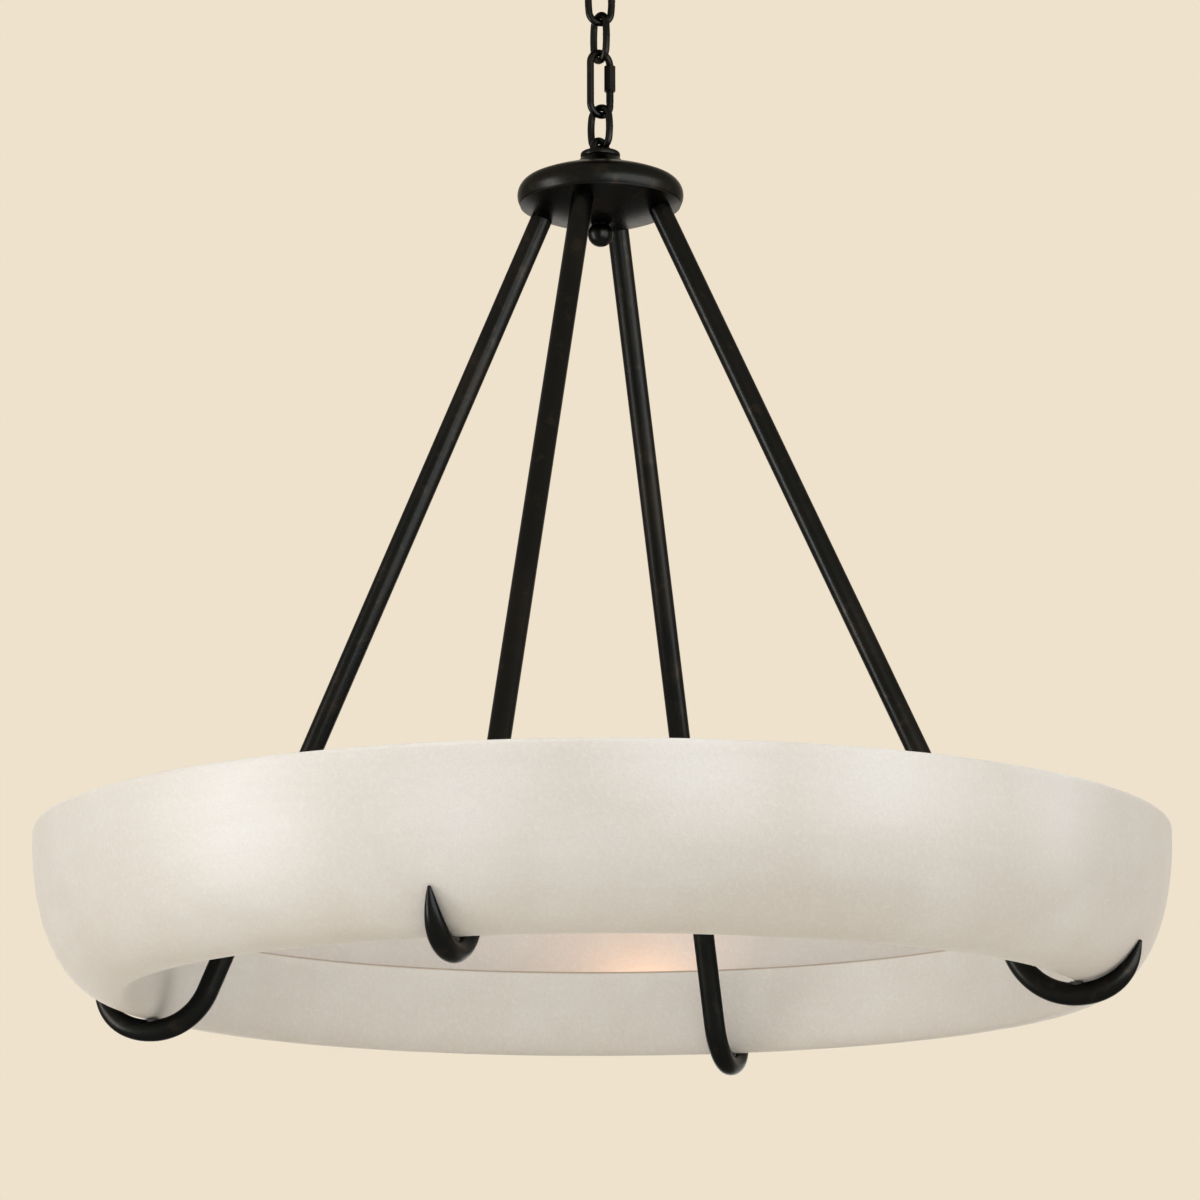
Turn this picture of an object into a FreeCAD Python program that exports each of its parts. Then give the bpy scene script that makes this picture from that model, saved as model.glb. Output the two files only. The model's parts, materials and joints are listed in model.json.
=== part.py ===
import FreeCAD, Part
import math
import os

# Alabaster chandelier: an open-topped stone ring hung by four hooked arms from a round hub,
# on a short chain from a ceiling canopy. Millimetres and degrees. The origin is on the axis
# at the ceiling, +Z is up, and everything hangs below it.

# Ceiling strap and canopy
strap_length = 108.0
strap_width = 20.0
strap_thickness = 2.5
slot_spacing = 79.4
slot_length = 16.0
slot_width = 4.8
ground_screw_radius = 2.0
ground_screw_head_radius = 4.0
ground_screw_head_height = 2.5
ground_screw_place = 20.0
nipple_radius = 5.0
nipple_bore_radius = 3.2
nipple_engagement = 12.0
lock_nut_across = 15.0
lock_nut_height = 4.0
canopy_radius = 66.0
canopy_depth = 30.0
canopy_wall = 1.6
canopy_edge_radius = 18.0
barrel_radius = 13.5
barrel_length = 26.0
barrel_inside_canopy = 12.0
canopy_collar_radius = 19.0
canopy_collar_height = 10.0
canopy_collar_rounding = 2.0

# Loops and chain, sizes of the bent wire measured outside
wire_radius = 3.0
loop_radius = 9.5
loop_height = 11.0
link_length = 45.0
link_width = 26.0
link_end_tightness = 0.6
last_link_length = 41.0
quick_link_length = 60.0
quick_link_width = 25.0
sleeve_length = 22.0
sleeve_across = 9.2
sleeve_chamfer = 0.9
sleeve_below_top = 13.0
quick_link_mouth = 8.0

# Turn of each loop and link about the vertical
ceiling_loop_turn = 104.0
link_1_turn = 14.0
link_2_turn = -58.0
quick_link_turn = 32.0
link_3_turn = -40.0
hub_loop_turn = 52.0

# Hub
hub_loop_height = 9.7
hub_loop_sunk = 2.5
loop_base_radius = 16.5
loop_base_height = 5.6
loop_base_rounding = 2.3
loop_base_socket = 3.0
loop_boss_radius = 8.5
loop_boss_length = 7.0
hub_collar_radius = 24.0
hub_collar_top_radius = 16.5
hub_collar_height = 8.2
hub_collar_edge = 1.2
hub_collar_hollow = 0.4
hub_radius = 68.8
hub_rim_inset = 1.8
hub_rim_height = 19.5
hub_widest_height = 8.2
hub_height = 30.8
hub_shoulder_inset = 7.6
hub_crown_radius = 24.0
hub_crown_bulge = 1.3
hub_wall = 3.5
cover_inset = 2.3
cover_edge_height = 1.5
cover_depth = 18.1
cover_floor = 7.0
cover_hollow_from_arm = 17.0
hub_nut_across = 17.0
hub_nut_height = 5.0
cross_hole_radius = 2.6
finial_neck_radius = 7.2
finial_neck_length = 0.3
finial_engagement = 9.0
finial_radius = 10.5

# Arms and hooks
arm_count = 4
first_arm_azimuth = -16.6
arm_circle_inset = 19.8
arm_datum_drop = 4.0
arm_drop = 526.0
arm_radius = 9.0
arm_bore_radius = 6.0
arm_start = 2.5
neck_radius = 7.0
neck_bore_radius = 3.5
neck_inside_hub = 15.0
neck_inside_arm = 16.0
arm_nut_radius = 10.5
arm_nut_height = 6.0
hook_spigot_length = 14.0
hook_bend_radius = 52.4
horn_tip_height = 30.3
horn_tip_radius = 1.6
horn_fullness = 3.8
horn_sections = 11
pad_radius = 6.0
pad_proud = 0.8
pad_depth = 3.5
pad_rounding = 0.8

# Stone ring
ring_radius = 457.2
ring_height = 133.0
ring_section_width = 84.7
ring_foot_inset = 13.7
ring_outer_roundness = 2.2
inner_wall_height = 73.0
inner_roundness = 2.2
ring_wall = 12.0
ring_floor = 13.0
ring_lip_rounding = 4.5
trough_floor_width = 12.0
trough_corner_radius = 2.0
trough_roundness = 2.0
curve_points = 13

# Lamps in the trough
lamp_count = 6
lamp_past_arm = 87.1
lamp_height_over_floor = 40.0
tray_width = 11.0
tray_height = 11.0
tray_wall = 1.2
tray_from_wall = 0.7
holder_radius = 11.0
holder_length = 32.0
holder_rounding = 1.0
holder_socket_gap = 0.5
holder_socket_depth = 20.0
holder_stub_radius = 5.0
holder_stub_length = 7.0
holder_nut_across = 14.0
holder_nut_height = 4.0
bracket_thickness = 2.0
bracket_foot_width = 7.4
bracket_foot_length = 18.0
bracket_half_width = 11.0
bracket_over_axis = 12.0
bracket_under_axis = 10.0
bracket_screw_radius = 1.5
bracket_screw_head_radius = 2.7
bracket_screw_head_height = 2.0
bracket_screw_inset = 7.0
cap_radius = 5.9
cap_contact_radius = 3.0
cap_contact_length = 2.0
cap_flange_radius = 7.2
cap_flange_height = 2.0
glass_neck_radius = 6.8
glass_shoulder_radius = 9.9
glass_shoulder_place = 10.0
glass_radius = 16.0
glass_widest_place = 29.0
glass_taper_radius = 11.5
glass_taper_place = 50.5
glass_length = 72.0
glass_wall = 1.0
conduit_radius = 3.5
conduit_bore_radius = 2.5
conduit_bend_radius = 20.0
conduit_below_rim = 2.0
conduit_into_tray = 4.0

# Clearances
link_gap = 0.3
thread_gap = 0.1
slip_gap = 0.3
seat_gap = 0.2
spigot_clearance = 1.4

# Levels worked out from the ceiling down
link_pitch = 2 * wire_radius + link_gap
canopy_floor = -canopy_depth
barrel_top = canopy_floor + barrel_inside_canopy
barrel_bottom = barrel_top - barrel_length
nipple_bottom = barrel_top - nipple_engagement
ceiling_loop_crown = barrel_bottom - loop_height
link_1_top = ceiling_loop_crown + link_pitch
link_1_bottom = link_1_top - (link_length - 2 * wire_radius)
link_2_top = link_1_bottom + link_pitch
link_2_bottom = link_2_top - (link_length - 2 * wire_radius)
quick_link_top = link_2_bottom + link_pitch
quick_link_bottom = quick_link_top - (quick_link_length - 2 * wire_radius)
link_3_top = quick_link_bottom + link_pitch
link_3_bottom = link_3_top - (last_link_length - 2 * wire_radius)
hub_loop_crown = link_3_bottom + link_pitch
loop_base_top = hub_loop_crown - hub_loop_height
loop_base_bottom = loop_base_top - loop_base_height
hub_socket_top = loop_base_bottom + loop_base_socket
hub_top = loop_base_bottom - hub_collar_height
hub_rim = hub_top - hub_height
cover_bottom = hub_rim - cover_depth
nipple_end = cover_bottom - finial_engagement
arm_datum = hub_rim - arm_datum_drop
ring_top = arm_datum - arm_drop
ring_bottom = ring_top - ring_height
inner_rim = ring_bottom + inner_wall_height
trough_floor = ring_bottom + ring_floor
outer_spring = ring_top - ring_lip_rounding
inner_spring = inner_rim - ring_lip_rounding
pad_top = ring_bottom - seat_gap
hook_low = pad_top - pad_proud - arm_radius
tray_top = trough_floor + tray_height
lamp_level = trough_floor + lamp_height_over_floor

# Radii worked out from the hub's and the stone's outside
hub_rim_radius = hub_radius - hub_rim_inset
hub_shoulder_radius = hub_radius - hub_shoulder_inset
cover_radius = hub_radius - cover_inset
arm_circle_radius = hub_radius - arm_circle_inset
cover_hollow_radius = arm_circle_radius - cover_hollow_from_arm
ring_inner_radius = ring_radius - ring_section_width
ring_bottom_radius = ring_inner_radius + ring_foot_inset
trough_outer_radius = ring_radius - ring_wall
trough_inner_radius = ring_inner_radius + ring_wall
trough_floor_end = trough_inner_radius + trough_corner_radius + trough_floor_width
tray_inner_radius = trough_inner_radius + trough_corner_radius + tray_from_wall
tray_outer_radius = tray_inner_radius + tray_width
tray_middle_radius = tray_inner_radius + tray_width / 2
holder_socket_radius = cap_radius + holder_socket_gap


def oval_reach(share_down, roundness):
    """How far out a rounded oval is at a share of its half height, as a share of its half width."""
    return (1 - share_down ** roundness) ** (1 / roundness)


# The leads come down in the last arm. The lamps stand midway between the trough's inner wall
# and its curved side, the first one just past that arm, so that the conduit has room behind it
feed_arm = arm_count - 1
feed_azimuth = first_arm_azimuth + feed_arm * 360.0 / arm_count
lamp_share = (outer_spring - lamp_level) / (outer_spring - trough_floor)
trough_side = (trough_outer_radius - trough_floor_end) * oval_reach(lamp_share, trough_roundness)
lamp_circle_radius = (trough_inner_radius + trough_floor_end + trough_side) / 2
first_lamp_azimuth = feed_azimuth + math.degrees(lamp_past_arm / lamp_circle_radius)

# The horn follows the stone's outer face up to its tip, as a share of the face's half width
outer_half_width = ring_radius - ring_bottom_radius
outer_half_height = outer_spring - ring_bottom
tip_out = oval_reach(1 - horn_tip_height / outer_half_height, ring_outer_roundness)

# The arm runs straight from the hub until it touches the hook's bend
bend_centre_radius = ring_bottom_radius
bend_centre_level = hook_low + hook_bend_radius
arm_reach = bend_centre_radius - arm_circle_radius
arm_fall = arm_datum - bend_centre_level
arm_span = math.hypot(arm_reach, arm_fall)
arm_tilt = math.atan2(arm_reach, arm_fall) - math.asin(hook_bend_radius / arm_span)
arm_length = math.sqrt(arm_span ** 2 - hook_bend_radius ** 2)
arm_slope_out = math.sin(arm_tilt)
arm_slope_down = math.cos(arm_tilt)

# The hook's spigot ends below the conduit that enters the arm's bore
conduit_level = ring_top - conduit_below_rim
conduit_along = (arm_datum - conduit_level) / arm_slope_down
conduit_drop = (arm_bore_radius * arm_slope_out + conduit_radius) / arm_slope_down
spigot_top = conduit_along + conduit_drop + spigot_clearance
hook_joint = spigot_top + hook_spigot_length

UP = FreeCAD.Vector(0, 0, 1)
AXIS = FreeCAD.Vector(0, 0, 0)


def point(radius, level):
    """A point of the plane that holds the axis and azimuth zero."""
    return FreeCAD.Vector(radius, 0, level)


def line(start, end):
    return Part.makeLine(start, end)


def arc(start, middle, end):
    return Part.Arc(start, middle, end).toShape()


def corner(centre, radius, first, last):
    """A circular arc in the radial plane between two angles in degrees."""
    angles = [math.radians(a) for a in (first, (first + last) / 2, last)]
    places = [centre + radius * point(math.cos(a), math.sin(a)) for a in angles]
    return arc(*places)


def outline(*corners):
    """A closed polygon as a face."""
    return Part.Face(Part.makePolygon(list(corners) + [corners[0]]))


def turned(edges):
    """A solid of revolution about the vertical axis from a closed outline."""
    face = Part.Face(Part.Wire(Part.__sortEdges__(edges)))
    return face.revolve(AXIS, UP, 360)


def turned_polygon(*corners):
    return outline(*[point(*c) for c in corners]).revolve(AXIS, UP, 360)


def rod(radius, start, end):
    return Part.makeCylinder(radius, (end - start).Length, start, end - start)


def rounded(shape, radius, choose):
    """Fillet the circular edges whose centre level and radius satisfy a test."""
    edges = [e for e in shape.Edges if isinstance(e.Curve, Part.Circle) and choose(e.Curve)]
    return shape.makeFillet(radius, edges)


def hexagon(across, height, base):
    """A hexagonal prism standing on a level, about the vertical axis."""
    reach = across / math.sqrt(3)
    corners = [point(reach, base)]
    for side in range(1, 6):
        angle = math.radians(60 * side)
        corners.append(FreeCAD.Vector(reach * math.cos(angle), reach * math.sin(angle), base))
    return outline(*corners).extrude(height * UP)


def about_axis(shape, azimuth):
    copy = shape.copy()
    copy.rotate(AXIS, UP, azimuth)
    return copy


def arm_point(along, aside=0.0):
    """A point on the arm's centre line, measured down from its datum just under the hub's rim."""
    radius = arm_circle_radius + along * arm_slope_out + aside * arm_slope_down
    return point(radius, arm_datum - along * arm_slope_down + aside * arm_slope_out)


def arm_azimuth(index):
    return first_arm_azimuth + index * 360.0 / arm_count


def lamp_azimuth(index):
    return first_lamp_azimuth + index * 360.0 / lamp_count


def swept(edges, radius, start, direction):
    """A round bar along a path of tangent edges."""
    section = Part.Wire(Part.makeCircle(radius, start, direction))
    return Part.Wire(edges).makePipeShell([section], True, False)


# Ceiling strap, canopy and loop


def ceiling_strap():
    strap = Part.makeBox(strap_length, strap_width, strap_thickness)
    strap.translate(FreeCAD.Vector(-strap_length / 2, -strap_width / 2, -strap_thickness))
    strap = strap.cut(rod(nipple_radius + thread_gap, point(0, -strap_thickness), point(0, 0)))
    low = point(ground_screw_place, -strap_thickness)
    strap = strap.cut(rod(ground_screw_radius + thread_gap, low, point(ground_screw_place, 0)))
    half_run = (slot_length - slot_width) / 2
    for side in (-1, 1):
        middle = side * slot_spacing / 2
        slot = Part.makeBox(2 * half_run, slot_width, strap_thickness)
        slot.translate(FreeCAD.Vector(middle - half_run, -slot_width / 2, -strap_thickness))
        for end in (-half_run, half_run):
            base = point(middle + end, -strap_thickness)
            slot = slot.fuse(rod(slot_width / 2, base, base + strap_thickness * UP))
        strap = strap.cut(slot)
    return strap.removeSplitter()


def ground_screw():
    head_top = point(ground_screw_place, -strap_thickness)
    head = rod(ground_screw_head_radius, head_top - ground_screw_head_height * UP, head_top)
    return head.fuse(rod(ground_screw_radius, head_top, head_top + strap_thickness * UP))


def ceiling_nipple():
    tube = rod(nipple_radius, point(0, nipple_bottom), point(0, 0))
    return tube.cut(rod(nipple_bore_radius, point(0, nipple_bottom), point(0, 0)))


def nipple_lock_nut():
    base = -strap_thickness - lock_nut_height
    nut = hexagon(lock_nut_across, lock_nut_height, base)
    return nut.cut(rod(nipple_radius + thread_gap, point(0, base), point(0, -strap_thickness)))


def canopy():
    hole = barrel_radius + slip_gap
    inside = canopy_radius - canopy_wall
    edge_level = canopy_floor + canopy_edge_radius
    edge_centre = point(canopy_radius - canopy_edge_radius, edge_level)
    floor_top = canopy_floor + canopy_wall
    return turned([
        line(point(canopy_radius, 0), point(canopy_radius, edge_level)),
        corner(edge_centre, canopy_edge_radius, 0, -90),
        line(point(edge_centre.x, canopy_floor), point(hole, canopy_floor)),
        line(point(hole, canopy_floor), point(hole, floor_top)),
        line(point(hole, floor_top), point(edge_centre.x, floor_top)),
        corner(edge_centre, canopy_edge_radius - canopy_wall, -90, 0),
        line(point(inside, edge_level), point(inside, 0)),
        line(point(inside, 0), point(canopy_radius, 0)),
    ])


def canopy_collar():
    low = canopy_floor - canopy_collar_height
    ring = rod(canopy_collar_radius, point(0, low), point(0, canopy_floor))
    ring = rounded(ring, canopy_collar_rounding, lambda c: c.Center.z < low + slip_gap)
    return ring.cut(rod(barrel_radius + slip_gap, point(0, low), point(0, canopy_floor)))


def bail(seat, height, direction):
    """A half loop of wire on a seat level, standing up (+1) or hanging down (-1)."""
    straight = height - loop_radius
    feet = [point(side * loop_radius, seat) for side in (-1, 1)]
    springs = [foot + direction * straight * UP for foot in feet]
    crown = point(0, seat + direction * height)
    path = [line(feet[0], springs[0]), arc(springs[0], crown, springs[1]), line(springs[1], feet[1])]
    return swept(path, wire_radius, feet[0], UP)


def ceiling_loop():
    barrel = rod(barrel_radius, point(0, barrel_bottom), point(0, barrel_top))
    barrel = barrel.fuse(about_axis(bail(barrel_bottom, loop_height, -1), ceiling_loop_turn))
    socket_low = nipple_bottom - slip_gap
    barrel = barrel.cut(rod(nipple_radius + thread_gap, point(0, socket_low), point(0, barrel_top)))
    return barrel.cut(rod(nipple_bore_radius, point(0, barrel_bottom), point(0, socket_low)))


# Chain


def chain_link(top, length):
    """An oval link of four tangent arcs, hanging from the wire centre at its top."""
    half_width = link_width / 2 - wire_radius
    half_length = length / 2 - wire_radius
    link_end_radius = half_width - link_end_tightness
    middle = top - half_length
    end_rise = half_length - link_end_radius
    squares = half_width ** 2 + half_length ** 2
    side_radius = (squares - 2 * half_length * link_end_radius) / (2 * link_end_tightness)
    meet = math.degrees(math.atan2(end_rise, side_radius - half_width))
    path = [
        corner(point(half_width - side_radius, middle), side_radius, -meet, meet),
        corner(point(0, middle + end_rise), link_end_radius, meet, 180 - meet),
        corner(point(side_radius - half_width, middle), side_radius, 180 - meet, 180 + meet),
        corner(point(0, middle - end_rise), link_end_radius, 180 + meet, 360 - meet),
    ]
    start = path[0].Vertexes[0].Point
    return swept(path, wire_radius, start, path[0].tangentAt(path[0].FirstParameter))


def quick_link():
    """An open long link: its mouth is in one leg, under the sleeve."""
    half_width = quick_link_width / 2 - wire_radius
    high = quick_link_top - half_width
    low = quick_link_bottom + half_width
    mouth_top = sleeve_top() - (sleeve_length - quick_link_mouth) / 2
    path = [
        line(point(half_width, mouth_top), point(half_width, high)),
        corner(point(0, high), half_width, 0, 180),
        line(point(-half_width, high), point(-half_width, low)),
        corner(point(0, low), half_width, 180, 360),
        line(point(half_width, low), point(half_width, mouth_top - quick_link_mouth)),
    ]
    return swept(path, wire_radius, point(half_width, mouth_top), UP)


def sleeve_top():
    return quick_link_top + wire_radius - sleeve_below_top


def quick_link_sleeve():
    """A long hexagonal nut with its corners turned off at both ends."""
    ends = (point(0, sleeve_top() - sleeve_length), point(0, sleeve_top()))
    turning = rod(sleeve_across / math.sqrt(3), *ends)
    turning = turning.makeChamfer(sleeve_chamfer, [e for e in turning.Edges if e.Closed])
    nut = hexagon(sleeve_across, sleeve_length, ends[0].z).common(turning)
    nut = nut.cut(rod(wire_radius + slip_gap, *ends))
    nut.translate(point(quick_link_width / 2 - wire_radius, 0))
    return nut


# Hub


def hub_loop():
    """A wire loop on a round-edged disc, with a threaded boss that goes down into the collar."""
    base = rod(loop_base_radius, point(0, loop_base_bottom), point(0, loop_base_top))
    base = rounded(base, loop_base_rounding, lambda c: True)
    boss_low = point(0, loop_base_bottom - loop_boss_length)
    base = base.fuse(rod(loop_boss_radius, boss_low, point(0, loop_base_bottom)))
    loop = bail(loop_base_top - hub_loop_sunk, hub_loop_height + hub_loop_sunk, 1)
    base = base.fuse(about_axis(loop, hub_loop_turn))
    socket = rod(nipple_radius + thread_gap, boss_low, point(0, hub_socket_top))
    bore = rod(nipple_bore_radius, point(0, hub_socket_top), point(0, loop_base_top))
    return base.cut(socket).cut(bore)


def hub_collar():
    """A hollow-sided skirt between the loop's disc and the hub."""
    hole = loop_boss_radius + slip_gap
    foot = point(hub_collar_radius, hub_top + hub_collar_edge)
    neck = point(hub_collar_top_radius, loop_base_bottom)
    hollow = 0.5 * (foot + neck) - hub_collar_hollow * point(1, 1)
    return turned([
        line(point(hole, hub_top), point(hub_collar_radius, hub_top)),
        line(point(hub_collar_radius, hub_top), foot),
        arc(foot, hollow, neck),
        line(neck, point(hole, loop_base_bottom)),
        line(point(hole, loop_base_bottom), point(hole, hub_top)),
    ])


def hub_body():
    """A shallow domed shell, open below, with a full round edge."""
    hole = nipple_radius + slip_gap
    rim_top = hub_rim + hub_rim_height
    inside = hub_rim_radius - hub_wall
    ceiling = hub_top - hub_wall
    widest = point(hub_radius, hub_rim + hub_widest_height)
    shoulder = point(hub_shoulder_radius, rim_top)
    crown = point(hub_crown_radius, hub_top)
    dome = 0.5 * (shoulder + crown) + hub_crown_bulge * UP
    inner_shoulder = point(hub_shoulder_radius - hub_wall, rim_top - hub_wall)
    inner_side = point(inside, hub_rim + hub_wall)
    return turned([
        arc(point(hub_rim_radius, hub_rim), widest, shoulder),
        arc(shoulder, dome, crown),
        line(crown, point(hole, hub_top)),
        line(point(hole, hub_top), point(hole, ceiling)),
        line(point(hole, ceiling), point(hub_crown_radius, ceiling)),
        line(point(hub_crown_radius, ceiling), inner_shoulder),
        line(inner_shoulder, inner_side),
        line(inner_side, point(inside, hub_rim)),
        line(point(inside, hub_rim), point(hub_rim_radius, hub_rim)),
    ])


def hub_cover():
    """A turned dish that closes the hub from below, with a stepped hole for each arm."""
    edge = hub_rim - cover_edge_height
    sag = edge - cover_bottom
    dish_radius = (cover_radius ** 2 + sag ** 2) / (2 * sag)
    half_angle = math.degrees(math.asin(cover_radius / dish_radius))
    hollow = cover_bottom + cover_floor
    dish = turned([
        corner(point(0, cover_bottom + dish_radius), dish_radius, -90, half_angle - 90),
        line(point(cover_radius, edge), point(cover_radius, hub_rim)),
        line(point(cover_radius, hub_rim), point(cover_hollow_radius, hub_rim)),
        line(point(cover_hollow_radius, hub_rim), point(cover_hollow_radius, hollow)),
        line(point(cover_hollow_radius, hollow), point(0, hollow)),
        line(point(0, hollow), point(0, cover_bottom)),
    ])
    dish = dish.cut(rod(nipple_radius + slip_gap, point(0, cover_bottom), point(0, hub_rim)))
    passage = rod(neck_radius + thread_gap, arm_point(-neck_inside_hub), arm_point(arm_start))
    socket = rod(arm_radius + thread_gap, arm_point(arm_start - seat_gap), arm_point(neck_inside_hub))
    for index in range(arm_count):
        dish = dish.cut(about_axis(passage, arm_azimuth(index)))
        dish = dish.cut(about_axis(socket, arm_azimuth(index)))
    return dish


def hub_nipple():
    top = point(0, hub_socket_top - slip_gap)
    low = point(0, nipple_end)
    tube = rod(nipple_radius, low, top).cut(rod(nipple_bore_radius, low, top))
    level = (hub_rim + hub_top) / 2
    return tube.cut(rod(cross_hole_radius, point(-nipple_radius, level), point(nipple_radius, level)))


def hub_nut():
    top = hub_top - hub_wall
    nut = hexagon(hub_nut_across, hub_nut_height, top - hub_nut_height)
    return nut.cut(rod(nipple_radius + thread_gap, point(0, top - hub_nut_height), point(0, top)))


def finial():
    """A ball screwed up against the cover, flat where it bears."""
    drop = math.sqrt(finial_radius ** 2 - finial_neck_radius ** 2)
    centre = cover_bottom - finial_neck_length - drop
    flat = point(0, cover_bottom)
    ball = Part.makeSphere(finial_radius, point(0, centre))
    ball = ball.cut(rod(finial_radius, flat, flat + finial_radius * UP))
    body = ball.fuse(rod(finial_neck_radius, point(0, centre), flat))
    return body.cut(rod(nipple_radius + thread_gap, point(0, nipple_end - slip_gap), flat))


# Arms and hooks, made in the plane of azimuth zero


def arm_neck():
    """The hollow stud that joins an arm to the hub."""
    top = arm_point(-neck_inside_hub)
    step = arm_point(arm_start)
    low = arm_point(arm_start + neck_inside_arm)
    stud = rod(neck_radius, top, step)
    plug = rod(arm_bore_radius - thread_gap, step, low)
    return stud.fuse(plug).cut(rod(neck_bore_radius, top, low))


def arm_nut():
    """A nut on the neck, its foot cut level to sit on the cover."""
    seat = arm_datum_drop / arm_slope_down
    nut = rod(arm_nut_radius, arm_point(0), arm_point(-seat - arm_nut_height))
    nut = nut.cut(rod(neck_radius + thread_gap, arm_point(0), arm_point(-seat - arm_nut_height)))
    reach = 2 * (arm_circle_radius + arm_nut_radius)
    below = Part.makeBox(reach, reach, reach)
    below.translate(FreeCAD.Vector(0, -reach / 2, hub_rim - reach))
    return nut.cut(below)


def all_arms(shape):
    return Part.makeCompound([about_axis(shape, arm_azimuth(index)) for index in range(arm_count)])


def arm_tube(with_wire_hole):
    tube = rod(arm_radius, arm_point(arm_start), arm_point(hook_joint))
    tube = tube.cut(rod(arm_bore_radius, arm_point(arm_start), arm_point(hook_joint)))
    if with_wire_hole:
        inner = arm_point(conduit_along)
        hole = rod(conduit_radius + slip_gap, inner, inner + point(2 * arm_radius, 0))
        tube = tube.cut(hole)
    return tube


def beside_stone(out, distance):
    """A place off the stone's outer face, at a share of its half width, and the way along the face."""
    down = oval_reach(out, ring_outer_roundness)
    face = point(ring_bottom_radius + outer_half_width * out, outer_spring - outer_half_height * down)
    slope_out = out ** (ring_outer_roundness - 1) / outer_half_width
    slope_down = down ** (ring_outer_roundness - 1) / outer_half_height
    steepness = math.hypot(slope_out, slope_down)
    place = face + distance / steepness * point(slope_out, -slope_down)
    return place, point(slope_down, slope_out)


def hook():
    """The solid lower end of an arm: a bend under the stone and a tapering horn along its outside."""
    low = point(ring_bottom_radius, hook_low)
    bend_centre = point(bend_centre_radius, bend_centre_level)
    bend_turn = 90 - math.degrees(arm_tilt)
    section = Part.Face(Part.Wire(Part.makeCircle(arm_radius, low, FreeCAD.Vector(1, 0, 0))))
    bend = section.revolve(bend_centre, FreeCAD.Vector(0, 1, 0), bend_turn)
    shank = rod(arm_radius, arm_point(hook_joint), arm_point(arm_length))
    spigot = rod(arm_bore_radius - thread_gap, arm_point(spigot_top), arm_point(hook_joint))
    rings = []
    for step in range(horn_sections):
        share = step / (horn_sections - 1)
        radius = arm_radius + (horn_tip_radius - arm_radius) * share ** horn_fullness
        place, along = beside_stone(tip_out * share, radius + seat_gap + pad_proud * (1 - share))
        rings.append(Part.Wire(Part.makeCircle(radius, place, along)))
    horn = Part.makeLoft(rings, True, False)
    tip = Part.makeSphere(horn_tip_radius, place)
    body = spigot.fuse([shank, bend, horn, tip])
    pad_seat = point(ring_bottom_radius, hook_low + arm_radius - pad_depth)
    return body.cut(rod(pad_radius + thread_gap, pad_seat, pad_seat + 2 * arm_radius * UP))


def hook_pad():
    seat = point(ring_bottom_radius, hook_low + arm_radius - pad_depth)
    top = point(ring_bottom_radius, pad_top)
    return rounded(rod(pad_radius, seat, top), pad_rounding, lambda c: c.Center.z > pad_top - slip_gap)


# Stone ring


def quarter(centre, half_width, half_height, roundness):
    """A quarter of a rounded oval, from its side down to its foot."""
    places = []
    for step in range(curve_points):
        angle = math.pi / 2 * step / (curve_points - 1)
        across = half_width * abs(math.cos(angle)) ** (2 / roundness)
        down = half_height * abs(math.sin(angle)) ** (2 / roundness)
        places.append(centre + point(across, -down))
    places[-1] = centre + point(0, -half_height)
    curve = Part.BSplineCurve()
    sideways = FreeCAD.Vector(-half_width, 0, 0)
    curve.interpolate(Points=places, InitialTangent=-half_height * UP, FinalTangent=sideways)
    return curve.toShape()


def alabaster_ring():
    """An open-topped trough: a high curved outer wall and a low inner wall."""
    lip = ring_lip_rounding
    floor_start = trough_inner_radius + trough_corner_radius
    outer_face = quarter(point(ring_bottom_radius, outer_spring), outer_half_width,
                         outer_half_height, ring_outer_roundness)
    inner_face = quarter(point(ring_bottom_radius, inner_spring), -ring_foot_inset,
                         inner_spring - ring_bottom, inner_roundness)
    trough_face = quarter(point(trough_floor_end, outer_spring), trough_outer_radius - trough_floor_end,
                          outer_spring - trough_floor, trough_roundness)
    return turned([
        outer_face,
        inner_face,
        corner(point(ring_inner_radius + lip, inner_spring), lip, 180, 90),
        line(point(ring_inner_radius + lip, inner_rim), point(trough_inner_radius - lip, inner_rim)),
        corner(point(trough_inner_radius - lip, inner_spring), lip, 90, 0),
        line(point(trough_inner_radius, inner_spring),
             point(trough_inner_radius, trough_floor + trough_corner_radius)),
        corner(point(floor_start, trough_floor + trough_corner_radius), trough_corner_radius, 180, 270),
        line(point(floor_start, trough_floor), point(trough_floor_end, trough_floor)),
        trough_face,
        corner(point(trough_outer_radius + lip, outer_spring), lip, 180, 90),
        line(point(trough_outer_radius + lip, ring_top), point(ring_radius - lip, ring_top)),
        corner(point(ring_radius - lip, outer_spring), lip, 90, 0),
    ])


# Lamps, made at azimuth zero with their axis along +Y and the bulb's middle at Y zero


def lamp_place(along):
    """A point on the lamp's axis, measured from the back of the holder."""
    bulb_middle = holder_length + seat_gap + cap_flange_height + glass_length / 2
    return FreeCAD.Vector(lamp_circle_radius, along - bulb_middle, lamp_level)


def lamp_rod(radius, start, end):
    return rod(radius, lamp_place(start), lamp_place(end))


def all_lamps(shape):
    return Part.makeCompound([about_axis(shape, lamp_azimuth(index)) for index in range(lamp_count)])


def lampholder():
    body = lamp_rod(holder_radius, 0, holder_length)
    edges = [e for e in body.Edges if isinstance(e.Curve, Part.Circle)]
    body = body.makeFillet(holder_rounding, edges)
    body = body.cut(lamp_rod(holder_socket_radius, holder_length - holder_socket_depth, holder_length))
    return body.fuse(lamp_rod(holder_stub_radius, -holder_stub_length, 0))


def foot_middle():
    """Middle of the bracket's foot, on the tray beside the holder."""
    along = lamp_place(bracket_foot_length / 2).y
    return FreeCAD.Vector(math.sqrt(tray_middle_radius ** 2 - along ** 2), along, tray_top)


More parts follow.
